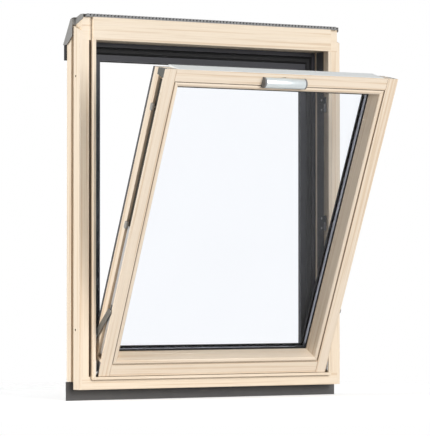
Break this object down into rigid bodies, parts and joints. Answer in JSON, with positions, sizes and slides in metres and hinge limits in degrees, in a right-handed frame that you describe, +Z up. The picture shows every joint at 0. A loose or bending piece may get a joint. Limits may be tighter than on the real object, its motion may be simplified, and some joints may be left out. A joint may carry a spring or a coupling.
{
  "type": "bottom-hung timber window",
  "caption": "Upright pine window element with a bottom-hung glazed sash that tilts into the room on side stays, lock rods, a top grip, a sheet hood and a foot flashing.",
  "frame": {"origin": "middle of the sill's lower room-side edge", "axes": "+X to the right as seen from the room, +Y to the outside, +Z up"},
  "size_m": [0.806, 0.4694, 0.976],
  "materials": {
    "frame_pine": "clear-lacquered pine, fine straight grain",
    "sash_pine": "clear-lacquered pine, fine straight grain",
    "lining_grey": "satin grey coating",
    "stop_dark": "satin dark grey coated extrusion",
    "seal_black": "matt black",
    "hood_grey": "satin grey coated sheet",
    "strip_grey": "matt grey",
    "flashing_dark": "satin dark grey coated sheet",
    "hardware_steel": "zinc-plated satin",
    "screw_steel": "zinc-plated",
    "clear_glass": "clear, smooth",
    "rod_metal": "dull drawn flat bar",
    "corner_grey": "dark grey cast corner",
    "spacer_metal": "satin",
    "gasket_black": "matt black",
    "cover_dark": "satin dark grey coated extrusion",
    "handle_silver": "satin anodised silver",
    "handle_end_grey": "matt grey"
  },
  "bodies": {
    "frame": {"bottom_flashing": "flashing_dark", "frame_screws": "screw_steel", "head": "frame_pine", "head_seal": "seal_black", "head_stop": "stop_dark", "hood": "hood_grey", "hood_apron": "seal_black", "left_hinge_bracket": "hardware_steel", "left_jamb": "frame_pine", "left_keeper_rail": "lining_grey", "left_keepers": "hardware_steel", "left_seal": "seal_black", "left_stay_bracket": "hardware_steel", "left_stop": "stop_dark", "ribbed_strip": "strip_grey", "right_hinge_bracket": "hardware_steel", "right_jamb": "frame_pine", "right_keeper_rail": "lining_grey", "right_keepers": "hardware_steel", "right_seal": "seal_black", "right_stay_bracket": "hardware_steel", "right_stop": "stop_dark", "sill": "frame_pine", "sill_seal": "seal_black", "sill_stop": "stop_dark"},
    "sash": {"left_stile": "sash_pine", "right_stile": "sash_pine", "left_hinge_plate": "hardware_steel", "right_hinge_plate": "hardware_steel", "left_stay_track": "hardware_steel", "right_stay_track": "hardware_steel", "left_corner_drive": "corner_grey", "right_corner_drive": "corner_grey", "left_handle_bracket": "handle_end_grey", "right_handle_bracket": "handle_end_grey", "left_cover": "cover_dark", "right_cover": "cover_dark", "top_rail": "sash_pine", "bottom_rail": "sash_pine", "inner_pane": "clear_glass", "outer_pane": "clear_glass", "spacer": "spacer_metal", "inner_gasket": "gasket_black", "outer_gasket": "gasket_black", "top_cover": "cover_dark", "bottom_cover": "cover_dark", "top_faceplate": "hardware_steel", "lock_case": "hardware_steel", "sash_screws": "screw_steel"},
    "handle": {"handle_grip": "handle_silver", "handle_spindle": "hardware_steel", "handle_crank": "hardware_steel"},
    "left_rod": {"left_lock_rod": "rod_metal", "left_cams": "hardware_steel"},
    "right_rod": {"right_lock_rod": "rod_metal", "right_cams": "hardware_steel"},
    "left_slide": {"left_top_rod": "rod_metal"},
    "right_slide": {"right_top_rod": "rod_metal"},
    "left_arm": {"left_stay": "hardware_steel"},
    "right_arm": {"right_stay": "hardware_steel"}
  },
  "joints": [
    {"name": "sash_tilt", "type": "hinge", "parent": "frame", "child": "sash", "pos_m": [0, 0.001, 0.043], "axis": [1, 0, 0], "range_deg": [-24.6, 0]},
    {"name": "left_stay_swing", "type": "hinge", "parent": "frame", "child": "left_arm", "pos_m": [-0.342, 0.001, 0.136], "axis": [1, 0, 0], "range_deg": [-49.2, 0]},
    {"name": "right_stay_swing", "type": "hinge", "parent": "frame", "child": "right_arm", "pos_m": [0.342, 0.001, 0.136], "axis": [1, 0, 0], "range_deg": [-49.2, 0]},
    {"name": "handle_turn", "type": "hinge", "parent": "sash", "child": "handle", "pos_m": [0, -0.3528, 0.77012], "axis": [-1, 0, 0], "range_deg": [0, 65]},
    {"name": "left_rod_slide", "type": "slide", "parent": "sash", "child": "left_rod", "axis": [0, 0.4163, -0.9092], "range_m": [0, 0.018]},
    {"name": "right_rod_slide", "type": "slide", "parent": "sash", "child": "right_rod", "axis": [0, 0.4163, -0.9092], "range_m": [0, 0.018]},
    {"name": "left_top_slide", "type": "slide", "parent": "sash", "child": "left_slide", "axis": [-1, 0, 0], "range_m": [0, 0.018]},
    {"name": "right_top_slide", "type": "slide", "parent": "sash", "child": "right_slide", "axis": [1, 0, 0], "range_m": [0, 0.018]}
  ],
  "couplings": [
    {"joint": "left_stay_swing", "follows": "sash_tilt", "ratio": 2},
    {"joint": "right_stay_swing", "follows": "sash_tilt", "ratio": 2},
    {"joint": "left_rod_slide", "follows": "handle_turn", "m_per_rad": 0.015867},
    {"joint": "right_rod_slide", "follows": "handle_turn", "m_per_rad": 0.015867},
    {"joint": "left_top_slide", "follows": "handle_turn", "m_per_rad": 0.015867},
    {"joint": "right_top_slide", "follows": "handle_turn", "m_per_rad": 0.015867}
  ]
}
